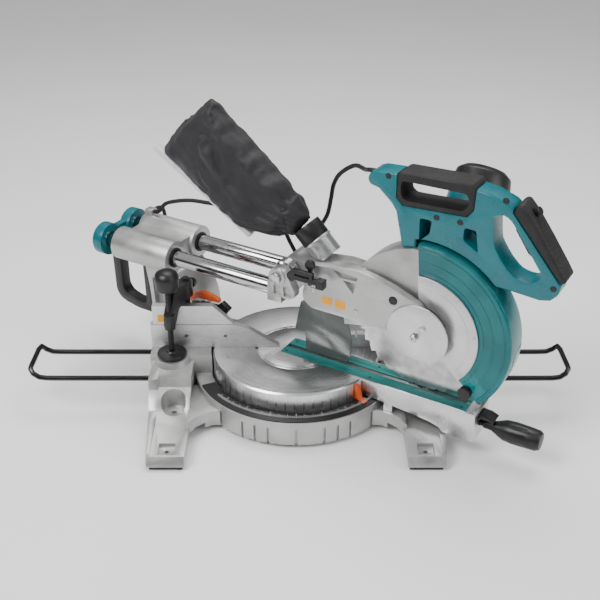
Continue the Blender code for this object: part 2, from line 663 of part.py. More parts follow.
def head_casting(arm):
    """Arm and upper blade case: one casting that turns on the chop axis."""
    bx, bz = BLADE
    px, pz = PIVOT
    made = place("head_casting", rod((px, -17, pz), (px, 42, pz), 18, 24), cast_grey(), arm)
    neck = [(0, pz - 16), (0, pz + 17), (34, pz + 16), (64, TABLE + 196), (98, TABLE + 200),
            (122, TABLE + 198),
            (116, TABLE + 118), (64, TABLE + 124), (40, TABLE + 138), (14, pz - 18)]
    add(made, prism(neck, -16, 30))
    add(made, prism(at_table([(44, 136), (60, 124), (160, 124), (164, 196), (150, 214), (104, 210),
                              (54, 198)]),
                    -33, -14))
    wall = at_table([(40, 148), (41, 135), (58, 123), (162, 123), (262, 125), (268, 152), (262, 182),
                     (232, 194),
                     (205, 204), (176, 212), (145, 217), (103, 213), (52, 204)])
    add(made, prism(rounded(wall, 6, 2), -46, -31.5))
    shell = arc(BLADE, CASE_R, 6, 192, 28) + arc(BLADE, 58, 192, 6, 12)
    add(made, prism(shell, -25, 20))
    add(made, rod((bx, -24, bz), (bx, -33, bz), 46, 28))
    hollow = arc(BLADE, CASE_R - 3, 3, 196, 28) + arc(BLADE, 30, 196, 3, 8)
    cut(made, prism(hollow, -18, 17))
    cut(made, wheel([(0, -18), (62, -18), (62, 17), (0, 17)], BLADE, sides=28))
    cut(made, rod((bx, 0, bz), (bx, 30, bz), 48, 28))
    cut(made, rod((px, -60, pz), (px, 60, pz), 8 + GAP, 20))
    for window in ([(96, 208), (146, 204), (143, 197), (112, 196)], [(118, 193), (143, 193), (137, 172)]):
        cut(made, prism(at_table(window), -47, -38))
    for x in (230, 240):
        cut(made, box((x - 3, -47, TABLE + 134), (x + 3, -42, TABLE + 164)))
    cut(made, rod((211, -47, TABLE + 181), (211, -40, TABLE + 181), 8, 16))
    return made


def gear_housing(arm):
    bx, bz = BLADE
    made = place("gear_housing", rod((bx, 20.4, bz), (bx, 66, bz), 46, 28), cast_grey(), arm)
    start, along = motor_axis()
    add(made, rod(start - along * 56, start + along * 20, 44, 28))
    cut(made, rod((bx, 10, bz), (bx, 62, bz), 16, 20))
    cut(made, box((100, -60, 0), (400, 26.4, TABLE + 600)))
    add(made, rod((bx, 20.4, bz), (bx, 40, bz), 45.5, 28))
    cut(made, rod((bx, 10, bz), (bx, 62, bz), 16, 20))
    return made


def motor_axis():
    tilt = math.radians(MOTOR_TILT)
    return mathutils.Vector((276, 58, TABLE + 224)), mathutils.Vector((0, math.cos(tilt), math.sin(tilt)))


def motor(arm):
    start, along = motor_axis()
    body = [(0, 0), (40, 0), (MOTOR_R, 4), (MOTOR_R, 92), (MOTOR_R - 2, 96), (0, 96)]
    place("motor_housing", turned(body, start + along * (20 + GAP), along, 28), teal(), arm)
    cap = [(0, 0), (MOTOR_R + 1, 0), (MOTOR_R + 1, 14), (MOTOR_R - 3, 34), (MOTOR_R - 14, 42), (0, 44)]
    place("motor_cap", turned(cap, start + along * (116.6 + GAP), along, 28), black(), arm)


def handle_outline():
    points = at_table([(143, 370), (148, 382), (160, 387), (193, 389), (316, 392), (350, 387), (378, 377),
                       (402, 358), (438, 314), (462, 280), (469, 266), (467, 250), (456, 238), (440, 234),
                       (400, 237)])
    points += arc(BLADE, GUARD_R + 4, 44, 98, 8) + arc(BLADE, CASE_R + 0.5, 98, 108, 2)
    points += at_table([(195, 326), (186, 338), (163, 358), (148, 361)])
    return points


def handle(arm):
    """Teal handle shell with the top slot and the D-shaped opening, and the two soft grips."""
    made = place("handle_body", prism(handle_outline(), -20, 20), teal(), arm)
    bevelled(made, 2.5, 35)
    cut(made, prism(rounded(at_table(D_HOLE), 8, 2), -40, 40))
    cut(made, prism(grip_ring_outline(0.4), -40, 40))
    for slot in ([(238, 284), (255, 300), (258, 324), (237, 324)],
                 [(311, 304), (337, 288), (331, 324), (311, 325)]):
        cut(made, prism(rounded(at_table(slot), 4, 2), -40, 40))
    cut(made, prism(d_grip_outline(0.4), -40, 40))
    plate = at_table([(206, 250), (212, 300), (300, 312), (350, 300), (384, 262), (340, 200), (262, 180)])
    add(made, prism(plate, 19, 32))
    room = [(46, -30), (GUARD_R + 3.5, -30), (GUARD_R + 3.5, 26.4), (46, 26.4)]
    cut(made, wheel(room, BLADE, -70, 168, 32))
    cut(made, rod((BLADE[0], 10, BLADE[1]), (BLADE[0], 62, BLADE[1]), 46.6, 28))
    cut(made, wheel([(30, -28), (CASE_R + 0.5, -28), (CASE_R + 0.5, 26.4), (30, 26.4)], BLADE, 90, 60, 16))
    cut(made, rod((130, 0, TABLE + 378), (158, 0, TABLE + 378), CORD_R + 2.4, 12))
    start, along = motor_axis()
    cut(made, rod(start - along * 60, start + along * 200, MOTOR_R + 1.5, 28))
    cut(made, trigger_room(), rod(*lock_off_ends(-18, 30), 5.4, 16))
    ring = place("top_grip", prism(grip_ring_outline(0), -22.5, 22.5), rubber(), arm)
    bevelled(ring, 3, 50)
    slot = at_table([(206, 380), (311, 381), (316, 372), (316, 364), (308, 352), (212, 348),
                     (204, 355), (203, 374)])
    cut(ring, prism(rounded(slot, 5, 2), -40, 40))
    grip = place("d_grip", prism(d_grip_outline(0), -21, 21), rubber(), arm)
    bevelled(grip, 3, 50)
    cut(grip, rod(*lock_off_ends(-18, 30), 5.4, 16))


def grip_ring_outline(grow):
    """The soft ring round the top slot; grown, it is the room left for it in the shell."""
    low = [(324 + grow, 356), (314 + grow, 343 - grow), (206 - grow, 338 - grow), (195 - grow, 349)]
    if grow:
        return at_table([(194 - grow, 430), (327 + grow, 430)] + low)
    return at_table([(195, 387), (200, 394), (322, 398), (325, 391)] + low)


def d_grip_outline(grow):
    """The soft grip on the outside of the D-shaped bar; grown, it is the room left for it."""
    if grow:
        return at_table([(391 - grow, 430), (440, 430), (540, 300), (520, 264 - grow), (468, 267 - grow),
                         (384 - grow, 366)])
    return at_table([(390, 381), (398, 382), (412, 367), (441, 328), (467, 291), (476, 277), (475, 270),
                     (466, 271), (384, 366)])


def along_trigger(distance, out):
    """A point beside the D-shaped opening's outer edge, which the trigger runs along."""
    along, normal = (0.591, -0.806), (0.806, 0.591)
    return 384 + distance * along[0] + out * normal[0], TABLE + 353 + distance * along[1] + out * normal[1]


def trigger_room():
    points = [along_trigger(*p) for p in ((3, 5), (3, -3), (74, -3), (74, 9), (60, 9.5), (10, 6))]
    return prism(points, -8.6, 8.6)


def trigger(arm):
    places = ((5, 3), (5, -3), (18, -8), (58, -9), (68, -5), (68, 0), (58, 1), (12, 3))
    points = [along_trigger(*p) for p in places]
    place("trigger", prism(points, -8, 8), black(), arm)


def lock_off_ends(low, high):
    """Two points on the lock-off button's axis, measured outwards from the grip's surface."""
    x, z, out = 412.0, TABLE + 365.5, (0.77, 0.64)
    return tuple((x + d * out[0], 0, z + d * out[1]) for d in (low, high))


def lock_off_button(arm):
    made = place("lock_off_button", rod(*lock_off_ends(-12, 6), 5, 14), black(), arm)
    add(made, rod(*lock_off_ends(5.4, 9.5), 6.5, 14))
    return made


def centre_cover(arm):
    bx, bz = BLADE
    outline = arc((bx + 4, bz + 4), 54, -60, 235, 20)
    made = place("centre_cover", prism(outline, -50, -46 - GAP), machined(), arm)
    add(made, rod((268, -49, TABLE + 146), (268, -54, TABLE + 146), 6, 6))
    return made


def rear_plate(arm):
    """The thin smoked sheet behind the blade; it passes between the fences as the head slides."""
    outline = at_table([(2, 44.4), (24, 44.4), (26, 8), (112, 8), (118, 30), (117, 60), (108, 100),
                        (104, 115),
                        (66, 119), (44, 131), (14, 104)])
    place("rear_plate", prism(outline, -8.6, -6), smoked(), arm)


def dust_path(distance, across=0.0):
    """A point on the nozzle's axis, which leans back from the head."""
    angle = math.radians(136)
    return (74 + distance * math.cos(angle) - across * math.sin(angle), 8,
            TABLE + 190 + distance * math.sin(angle) + across * math.cos(angle))


def dust_nozzle(arm):
    start, end = dust_path(16), dust_path(52)
    made = place("dust_nozzle", rod(start, end, 25, 24), cast_grey(), arm)
    add(made, rod(dust_path(47), dust_path(51), 27, 24))
    cut(made, rod(dust_path(20), dust_path(60), 21, 24))
    cut(made, box((-40, -40, 0), (200, 60, TABLE + 202)))
    collar = place("bag_collar", rod(dust_path(52 + GAP), dust_path(82), 26, 24), black(), arm)
    cut(collar, rod(dust_path(40), dust_path(90), 22, 24))


def bag_outline():
    return [(16, 226), (34, 262), (-6, 318), (-48, 352), (-110, 402), (-168, 448), (-236, 392), (-286, 330),
            (-200, 268), (-104, 214), (-56, 214)]


def dust_bag(arm):
    """A plain closed solid in the bag's true outer shape."""
    outline = [(x - 4, z + TABLE) for x, z in bag_outline()]
    middle = (sum(p[0] for p in outline) / len(outline), sum(p[1] for p in outline) / len(outline))
    bm = bmesh.new()
    rings = []
    for y, keep in ((-34, 0.62), (-22, 0.88), (0, 1.0), (22, 0.88), (34, 0.62)):
        rings.append([bm.verts.new((middle[0] + (a - middle[0]) * keep, 8 + y,
                                    middle[1] + (b - middle[1]) * keep))
                      for a, b in outline])
    size = len(outline)
    for one, two in zip(rings, rings[1:]):
        for j in range(size):
            bm.faces.new((one[j], one[(j + 1) % size], two[(j + 1) % size], two[j]))
    bm.faces.new(rings[0])
    bm.faces.new(list(reversed(rings[-1])))
    bmesh.ops.recalc_face_normals(bm, faces=bm.faces)
    made = place("dust_bag", bm, fabric(), arm)
    cut(made, rod(dust_path(20), dust_path(82 + GAP), 30, 24))
    rail_cut = rail_bar(1.0)
    cut(made, rail_cut)
    place("bag_rail", rail_bar(0), clear_rail(), arm)


def rail_bar(grow):
    start, end = mathutils.Vector((-302, 8, TABLE + 330)), mathutils.Vector((-98, 8, TABLE + 203))
    along = (end - start).normalized()
    up = mathutils.Vector((-along.z, 0, along.x)) * (5 + grow)
    points = [start - up, end - up, end + up, start + up]
    return prism([(p.x, p.z) for p in points], 8 - 8 - grow, 8 + 8 + grow)


def wing_screw(arm):
    x, z = 62, TABLE + 178
    made = place("wing_screw", rod((x, -46 - GAP, z), (x, -60, z), 4, 12), black(), arm)
    add(made, box((x - 3, -61, z - 4), (x + 3, -54, z + 34)), rod((x, -61, z + 34), (x, -55, z + 34), 9, 14))


# ---------------------------------------------------------------- blade and guard

def toothed_disc(teeth, bore, gullet_depth, half):
    """A flat disc round the blade's axis, with a ring of points at bore, middle and rim on either side."""
    shape = []
    for k in range(teeth):
        for part, depth in ((0.0, 0.0), (0.18, gullet_depth), (0.5, gullet_depth * 0.55)):
            shape.append(((k + part) * 2 * math.pi / teeth, BLADE_R - depth))
    bm = bmesh.new()
    rings = []
    for y, scale in ((half, 0.0), (half, 0.5), (half, 1.0), (-half, 1.0), (-half, 0.5), (-half, 0.0)):
        rings.append([bm.verts.new((BLADE[0] + (bore + (rim - bore) * scale) * math.cos(turn), y,
                                    BLADE[1] + (bore + (rim - bore) * scale) * math.sin(turn)))
                      for turn, rim in shape])
    for one, two in zip(rings, rings[1:] + rings[:1]):
        for k in range(len(shape)):
            after = (k + 1) % len(shape)
            bm.faces.new((one[k], one[after], two[after], two[k]))
    bmesh.ops.recalc_face_normals(bm, faces=bm.faces)
    return bm


def saw_blade(arm):
    place("saw_blade", toothed_disc(36, 15.3, 8.0, 1.2), steel(), arm)


def blade_spindle(arm):
    profile = [(0, -16), (9, -16), (9, -10), (25, -9), (25, -1.2 - GAP), (15, -1.2 - GAP), (15, 1.2 + GAP),
               (25, 1.2 + GAP), (25, 10), (12, 11), (12, 60), (0, 60)]
    place("blade_spindle", wheel(profile, BLADE, sides=20), steel(), arm)


def lower_guard(arm):
    """Translucent guard, a U section round the front of the blade."""
    inner = GUARD_R - 2.5
    profile = [(94, -27.5), (GUARD_R - 3, -27.5), (GUARD_R, -24), (GUARD_R, 22.5), (GUARD_R - 3, 25),
               (110, 25), (110, 22.6), (inner - 1, 22.6), (inner, 21), (inner, -24), (inner - 1, -25.4),
               (94, -25.4)]
    place("lower_guard", wheel(profile, BLADE, GUARD_FIRST, GUARD_SWEEP, 26), clear_teal(), arm)


def guard_ring(arm):
    profile = [(50, -30.5), (102, -30.5), (102, -27.8), (50, -27.8)]
    place("guard_ring", wheel(profile, BLADE, GUARD_FIRST, GUARD_SWEEP, 30), machined(), arm)


def guard_roller(arm):
    """The roller on the near side of the guard's lower end."""
    x, z = ROLLER
    place("guard_roller", rod((x, -27.5 - GAP, z), (x, -40, z), 11, 16), black(), arm)


# ---------------------------------------------------------------- cords

def cords(arm):
    """The mains cord in three runs, its coil on the floor behind the saw, and the plug."""
    tube("cord_head", [(152, 0, 468), (136, 2, 466), (118, 22, 456), (88, 42, 450), (56, 52, 426),
                       (40, 58, 400), (31, 66, 370), (18, 75, 330), (-6, 77, 290), (-15, 73, 264),
                       (-16, 72, 254), (-16, 72, 245)],
         CORD_R, rubber(), arm, 2, 14.0)
    tube("cord_slide", [(-27, 70, 234), (-38, 70, 236), (-54, 68, 262), (-72, 66, 292), (-112, 62, 311),
                        (-165, 57, 314), (-215, 53, 309), (-268, 50, 305), (-315, 43, 292), (-330, 40, 277),
                        (-338, 40, 268.5), (-346.4, 40, 268)],
         CORD_R, rubber(), arm, 2, 16.0)
    coil_x, coil_y = COIL_AT
    outside = COIL_R + COIL_HALF
    tube("cord_mains", [(-356, 49, 266), (-356, 58, 266), (-356, 68, 264), (-356, 78, 256), (-356, 84, 220),
                        (-358, 88, 150),
                        (-366, 98, 80), (-376, 116, 30), (-377, 136, 9), (-364, 154, 5), (-344, 165, 4.5),
                        (coil_x - 26, coil_y + 57, 4.5)],
         CORD_R, rubber(), arm, 2, 16.0)
    inside, top = COIL_R - COIL_HALF, 2 * COIL_HALF
    ring = [(inside, GAP), (outside, GAP), (outside, top), (inside, top)]
    place("cord_coil", turned(rounded(ring, 6, 1), (coil_x, coil_y, 0), (0, 0, 1), 24), rubber(), arm)
    mains_plug(arm)


def mains_plug(arm):
    """A two-pin plug with its tapered strain relief, on the floor where the cord leaves the coil."""
    at = (COIL_AT[0] + COIL_TOP_LANE, COIL_AT[1] - BOOT_START, 0)
    frame = empty("plug_frame", arm, at, -90.0)
    start = BOOT_LENGTH
    body = [(start - 1, -7), (start + 10, -13), (start + 17, -17), (start + 33, -17), (start + 33, 17),
            (start + 17, 17), (start + 10, 13), (start - 1, 7)]
    made = place("mains_plug", prism(body, GAP, 23, "z"), rubber(), frame)
    add(made, rod((0, 0, 12), (start, 0, 12), 5.0, 16, 7.0))
    for side in (-1, 1):
        add(made, rod((start + 32, side * 9.5, 12), (start + PLUG_LENGTH, side * 9.5, 12), 2.4, 10))


def centred(root, loose):
    """Moves the saw so that the origin is under the middle of its bounding box, the cord left out."""
    graph = bpy.context.evaluated_depsgraph_get()
    low, high = [1e9] * 3, [-1e9] * 3
    for item in bpy.data.objects:
        if item.type not in ("MESH", "CURVE") or item.hide_render or item.name in loose:
            continue
        solid = item.evaluated_get(graph)
        mesh = solid.to_mesh()
        for vertex in mesh.vertices:
            point = solid.matrix_world @ vertex.co
            low = [min(a, b) for a, b in zip(low, point)]
            high = [max(a, b) for a, b in zip(high, point)]
        solid.to_mesh_clear()
    root.location = (-(low[0] + high[0]) / 2, -(low[1] + high[1]) / 2, -low[2])


# ---------------------------------------------------------------- build

def build():
    clear_scene()
    root = empty("saw")
    arm = empty("arm_frame", root, (0, 0, 0), MITRE_ANGLE - 90)
    base_casting(root)
    foot_pads(root)
    mitre_scale(root)
    lower_fences(root)
    sub_fences(root)
    vise(root)
    wire_holders(root)
    pivot_bolt(root)
    turntable(arm)
    kerf_boards(arm)
    mitre_pointer(arm)
    mitre_grip(arm)
    mitre_lock_lever(arm)
    bevel_arm(arm)
    bevel_shaft(arm)
    rear_grip(arm)
    bevel_stop_lever(arm)
    bevel_lock_knob(arm)
    poles(arm)
    pole_end_cap(arm)
    pivot_bracket(arm)
    pivot_shaft(arm)
    return_spring(arm)
    stopper_arm(arm)
    head_casting(arm)
    gear_housing(arm)
    motor(arm)
    handle(arm)
    trigger(arm)
    lock_off_button(arm)
    centre_cover(arm)
    rear_plate(arm)
    dust_nozzle(arm)
    dust_bag(arm)
    wing_screw(arm)
    saw_blade(arm)
    blade_spindle(arm)
    lower_guard(arm)
    guard_ring(arm)
    guard_roller(arm)
    cords(arm)
    centred(root, ("cord_head", "cord_slide", "cord_mains", "cord_coil", "mains_plug"))


build()
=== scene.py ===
"""The looks of a sliding compound mitre saw: materials, soft parts, cords and small details on its CAD frame.

Lengths are in millimetres in the arm frame, which is turned about the mitre axis so that its
first axis runs out along the arm to the operator, its second crosses to the motor side and its
third is the height above the floor. at() turns such a place into metres in the row frame.
"""
import json
import math

import bmesh
import bpy
from mathutils import Matrix, Vector, noise


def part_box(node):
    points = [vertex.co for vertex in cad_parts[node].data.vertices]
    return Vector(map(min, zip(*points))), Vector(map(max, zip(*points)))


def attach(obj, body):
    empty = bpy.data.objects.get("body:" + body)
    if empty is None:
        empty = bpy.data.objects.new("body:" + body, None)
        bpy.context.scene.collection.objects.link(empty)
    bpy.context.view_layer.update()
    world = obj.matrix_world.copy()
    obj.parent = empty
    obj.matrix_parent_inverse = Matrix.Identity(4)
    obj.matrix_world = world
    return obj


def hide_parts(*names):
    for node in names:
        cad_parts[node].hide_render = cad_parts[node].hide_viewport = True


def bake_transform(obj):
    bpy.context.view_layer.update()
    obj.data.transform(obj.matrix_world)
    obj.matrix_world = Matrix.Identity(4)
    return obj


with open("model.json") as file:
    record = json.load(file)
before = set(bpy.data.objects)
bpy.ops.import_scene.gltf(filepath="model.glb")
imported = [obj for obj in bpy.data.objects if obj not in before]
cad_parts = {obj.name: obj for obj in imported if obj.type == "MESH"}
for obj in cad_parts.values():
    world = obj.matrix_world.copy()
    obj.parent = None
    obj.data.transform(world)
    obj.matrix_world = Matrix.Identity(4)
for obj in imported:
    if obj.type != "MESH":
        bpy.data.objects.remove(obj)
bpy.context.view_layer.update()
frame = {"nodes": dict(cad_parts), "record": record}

MM = 0.001
MITRE_AXIS = Vector((-0.00550275, -0.00575346, 0.0))    # the table's axis, in the row frame
ARM = Matrix.Rotation(math.radians(-31), 3, "Z")        # turns the arm frame into the row frame
TABLE = 90.0                                            # height of the table's top
VISE_SCREW_RADIUS = 4.9
VISE_THREAD = (104.0, 224.0)                            # heights of the thread's foot and top
VISE_PITCH = 2.5
BLADE = (254.0, 217.0)                                  # spindle axis, along the arm and up
CASE_SIDE = -46.0                                       # near face of the head's wall
CORD_DIAMETER = 0.0078
COIL_AT = (-300.0, 110.0)                               # the coil's middle, along the arm and across
COIL_RADIUS = 42.0                                      # of the coil's middle lane
COIL_TURNS = 6.25
TIE_HEIGHT = 12.8                                       # of the middle of each band round the coil
TIE_HALF_SIZE = (12.8, 11.5)                            # half width and half height of a band
TIE_STEPS = 40
BAG_MOUTH = (22.0, 1.5, 338.0)                          # where the bag leaves its collar
BAG_VOXEL = 0.0055
CLOTH_FRAMES = 24


# ---------------------------------------------------------------- places

def along(s, n, z):
    """A direction in the arm frame, as one in the row frame."""
    return ARM @ Vector((s, n, z))


def at(s, n, z):
    """A place in the arm frame, in metres in the row frame."""
    return MITRE_AXIS + along(s, n, z) * MM


def smooth_path(points, spacing):
    """Points about one spacing apart along a Catmull-Rom curve through the given points."""
    vectors = [Vector(p) for p in points]
    padded = [vectors[0] * 2 - vectors[1]] + vectors + [vectors[-1] * 2 - vectors[-2]]
    fine = []
    for i in range(1, len(padded) - 2):
        p0, p1, p2, p3 = padded[i - 1:i + 3]
        for k in range(16):
            u = k / 16
            fine.append(0.5 * ((2 * p1) + (p2 - p0) * u + (2 * p0 - 5 * p1 + 4 * p2 - p3) * u ** 2
                               + (3 * p1 - p0 - 3 * p2 + p3) * u ** 3))
    fine.append(vectors[-1])
    total = sum((b - a).length for a, b in zip(fine, fine[1:]))
    count = max(2, round(total / spacing))
    result, walked = [fine[0]], 0.0
    for a, b in zip(fine, fine[1:]):
        step = (b - a).length
        while walked + step >= total / count * len(result) and len(result) < count:
            result.append(a.lerp(b, (total / count * len(result) - walked) / step))
        walked += step
    result.append(fine[-1])
    return result


# ---------------------------------------------------------------- materials

class Look:
    """A procedural material on one Principled shader, with short calls for its nodes."""

    def __init__(self, name, colour, roughness, metallic=0.0, **sockets):
        self.material = bpy.data.materials.new(name)
        self.material.use_nodes = True
        self.tree = self.material.node_tree
        self.shader = self.tree.nodes["Principled BSDF"]
        self.shader.inputs["Base Color"].default_value = (*colour, 1.0)
        self.shader.inputs["Roughness"].default_value = roughness
        self.shader.inputs["Metallic"].default_value = metallic
        for key, value in sockets.items():
            self.shader.inputs[key.replace("_", " ")].default_value = value
        self.place = self.node("TexCoord").outputs["Object"]
        self.height = None

    def node(self, kind, **values):
        made = self.tree.nodes.new("ShaderNode" + kind)
        for key, value in values.items():
            setattr(made, key, value)
        return made

    def join(self, source, target):
        self.tree.links.new(source, target)

    def stretched(self, scale):
        """Object coordinates scaled by axis."""
        mapping = self.node("Mapping", vector_type="POINT")
        mapping.inputs["Scale"].default_value = scale
        self.join(self.place, mapping.inputs["Vector"])
        return mapping.outputs["Vector"]

    def noise(self, scale, detail=3.0, rough=0.55, where=None):
        made = self.node("TexNoise")
        made.inputs["Scale"].default_value = scale
        made.inputs["Detail"].default_value = detail
        made.inputs["Roughness"].default_value = rough
        self.join(where or self.place, made.inputs["Vector"])
        return made.outputs["Fac"]

    def spread(self, value, low, high, first=0.35, last=0.65):
        """The value's middle stretch, mapped to low...high."""
        made = self.node("MapRange")
        for key, number in zip(("From Min", "From Max", "To Min", "To Max"), (first, last, low, high)):
            made.inputs[key].default_value = number
        self.join(value, made.inputs["Value"])
        return made.outputs["Result"]

    def tint(self, value, dark, light):
        """Base colour between two colours."""
        mix = self.node("Mix", data_type="RGBA")
        mix.inputs["A"].default_value = (*dark, 1.0)
        mix.inputs["B"].default_value = (*light, 1.0)
        self.join(value, mix.inputs["Factor"])
        self.join(mix.outputs["Result"], self.shader.inputs["Base Color"])

    def shine(self, value, low, high):
        self.join(self.spread(value, low, high), self.shader.inputs["Roughness"])

    def bump(self, value, depth, strength=1.0):
        """Relief, depth in millimetres, on top of any already there."""
        made = self.node("Bump")
        made.inputs["Distance"].default_value = depth * MM
        made.inputs["Strength"].default_value = strength
        self.join(value, made.inputs["Height"])
        if self.height:
            self.join(self.height, made.inputs["Normal"])
        self.height = made.outputs["Normal"]
        self.join(self.height, self.shader.inputs["Normal"])
        return self


def cast_metal():
    look = Look("cast_metal", (0.5, 0.5, 0.5), 0.42, 0.8)
    fine = look.noise(900, 4)
    broad = look.noise(22, 4)
    look.tint(look.spread(broad, 0, 1, 0.3, 0.7), (0.42, 0.42, 0.415), (0.56, 0.56, 0.55))
    look.shine(broad, 0.36, 0.5)
    return look.bump(fine, 0.16, 0.5).bump(broad, 0.4, 0.3).material


def turned_aluminium():
    """Face-turned aluminium: fine rings about the mitre axis."""
    look = Look("turned_aluminium", (0.7, 0.7, 0.71), 0.26, 1.0)
    shift = look.node("VectorMath", operation="SUBTRACT")
    shift.inputs[1].default_value = MITRE_AXIS
    flat = look.node("VectorMath", operation="MULTIPLY")
    flat.inputs[1].default_value = (1, 1, 0)
    radius = look.node("VectorMath", operation="LENGTH")
    look.join(look.place, shift.inputs[0])
    look.join(shift.outputs[0], flat.inputs[0])
    look.join(flat.outputs[0], radius.inputs[0])
    rings = look.noise(1400, 2, 0.6, radius.outputs["Value"])
    worn = look.noise(16, 4)
    look.tint(look.spread(worn, 0, 1, 0.3, 0.7), (0.6, 0.6, 0.61), (0.8, 0.8, 0.81))
    look.shine(rings, 0.2, 0.36)
    return look.bump(rings, 0.05, 0.6).material


def brushed_aluminium():
    look = Look("brushed_aluminium", (0.68, 0.68, 0.69), 0.34, 0.9)
    grain = look.noise(120, 3, 0.6, look.stretched((0.4, 14, 14)))
    worn = look.noise(20, 4)
    look.tint(look.spread(worn, 0, 1, 0.3, 0.7), (0.58, 0.58, 0.59), (0.74, 0.74, 0.74))
    look.shine(grain, 0.26, 0.42)
    return look.bump(grain, 0.05, 0.5).material


def bright_steel():
    look = Look("bright_steel", (0.5, 0.5, 0.51), 0.14, 1.0)
    haze = look.noise(60, 4)
    look.shine(haze, 0.08, 0.2)
    return look.bump(look.noise(1200, 2), 0.01, 0.5).material


def blade_steel():
    look = Look("blade_steel", (0.5, 0.5, 0.5), 0.25, 1.0)
    haze = look.noise(50, 5)
    look.tint(look.spread(haze, 0, 1), (0.4, 0.4, 0.4), (0.6, 0.6, 0.6))
    return look.bump(haze, 0.05, 0.4).material


def moulded(name, dark, light, roughness, grain=700, depth=0.06):
    """Moulded plastic: slight colour variation and a fine spark-eroded grain."""
    look = Look(name, light, roughness)
    broad = look.noise(26, 3)
    look.tint(look.spread(broad, 0, 1, 0.3, 0.7), dark, light)
    look.shine(broad, roughness - 0.05, roughness + 0.07)
    return look.bump(look.noise(grain, 3), depth, 0.6).material


def dotted_rubber():
    """Soft grip rubber with a field of small raised dots."""
    look = Look("dotted_rubber", (0.022, 0.022, 0.023), 0.62)
    look.tint(look.spread(look.noise(40, 3), 0, 1), (0.006, 0.005, 0.005), (0.014, 0.012, 0.012))
    turned = look.node("VectorRotate", rotation_type="Z_AXIS")
    turned.inputs["Angle"].default_value = math.radians(31)
    look.join(look.place, turned.inputs["Vector"])
    dots = look.node("TexVoronoi")
    dots.inputs["Scale"].default_value = 230
    dots.inputs["Randomness"].default_value = 0.0
    look.join(turned.outputs["Vector"], dots.inputs["Vector"])
    return look.bump(look.spread(dots.outputs["Distance"], 1, 0, 0.2, 0.45), 0.5, 0.8).material


def clear_guard():
    """Translucent tinted polycarbonate."""
    look = Look("clear_guard", (0.0, 0.26, 0.27), 0.12, 0.0, Transmission_Weight=0.6, IOR=1.45)
    broad = look.noise(14, 3)
    look.tint(look.spread(broad, 0, 1), (0.0, 0.24, 0.27), (0.01, 0.36, 0.38))
    return look.bump(look.noise(300, 2), 0.02, 0.5).material


def smoked_plastic():
    look = Look("smoked_plastic", (0.16, 0.18, 0.17), 0.12, 0.0, Transmission_Weight=0.5, IOR=1.5)
    look.shine(look.noise(30, 3), 0.08, 0.2)
    return look.bump(look.noise(300, 2), 0.02, 0.5).material


def bag_cloth():
    """Coated plain weave, near black."""
    look = Look("bag_cloth", (0.022, 0.019, 0.021), 0.6, 0.0, Sheen_Weight=0.08, Sheen_Roughness=0.5)
    look.tint(look.spread(look.noise(35, 4), 0, 1), (0.006, 0.005, 0.007), (0.016, 0.013, 0.018))
    for direction in ((1, 0.15, 0.4), (0.15, 1, -0.3)):
        wave = look.node("TexWave", wave_type="BANDS", bands_direction="DIAGONAL")
        wave.inputs["Scale"].default_value = 420
        wave.inputs["Distortion"].default_value = 0.6
        look.join(look.stretched(direction), wave.inputs["Vector"])
        look.bump(wave.outputs["Fac"], 0.12, 0.5)
    return look.bump(look.noise(60, 4), 0.8, 0.35).material


def cord_rubber():
    look = Look("cord_rubber", (0.008, 0.008, 0.009), 0.45)
    look.shine(look.noise(60, 3), 0.42, 0.6)
    return look.bump(look.noise(500, 2), 0.04, 0.5).material


CAST = cast_metal()
TURNED = turned_aluminium()
BRUSHED = brushed_aluminium()
STEEL = bright_steel()
BLADE_STEEL = blade_steel()
BLACK = moulded("black_plastic_look", (0.004, 0.004, 0.0042), (0.011, 0.011, 0.012), 0.4)
GLOSS_BLACK = moulded("black_gloss_look", (0.004, 0.004, 0.004), (0.009, 0.009, 0.0095), 0.2, 400, 0.02)
TEAL = moulded("teal_look", (0.0, 0.115, 0.145), (0.0, 0.155, 0.185), 0.28, 600, 0.05)
KERF = moulded("kerf_look", (0.005, 0.13, 0.125), (0.01, 0.19, 0.175), 0.45)
ORANGE = moulded("orange_look", (0.62, 0.08, 0.012), (0.8, 0.13, 0.02), 0.35)
PALE = moulded("pale_look", (0.6, 0.62, 0.6), (0.78, 0.8, 0.78), 0.4)
AMBER = moulded("amber_look", (0.85, 0.36, 0.0), (0.95, 0.42, 0.0), 0.45)
WHITE = moulded("white_look", (0.7, 0.7, 0.7), (0.85, 0.85, 0.85), 0.5)
DOTTED = dotted_rubber()
GUARD = clear_guard()
SMOKED = smoked_plastic()
CLOTH = bag_cloth()
CORD = cord_rubber()

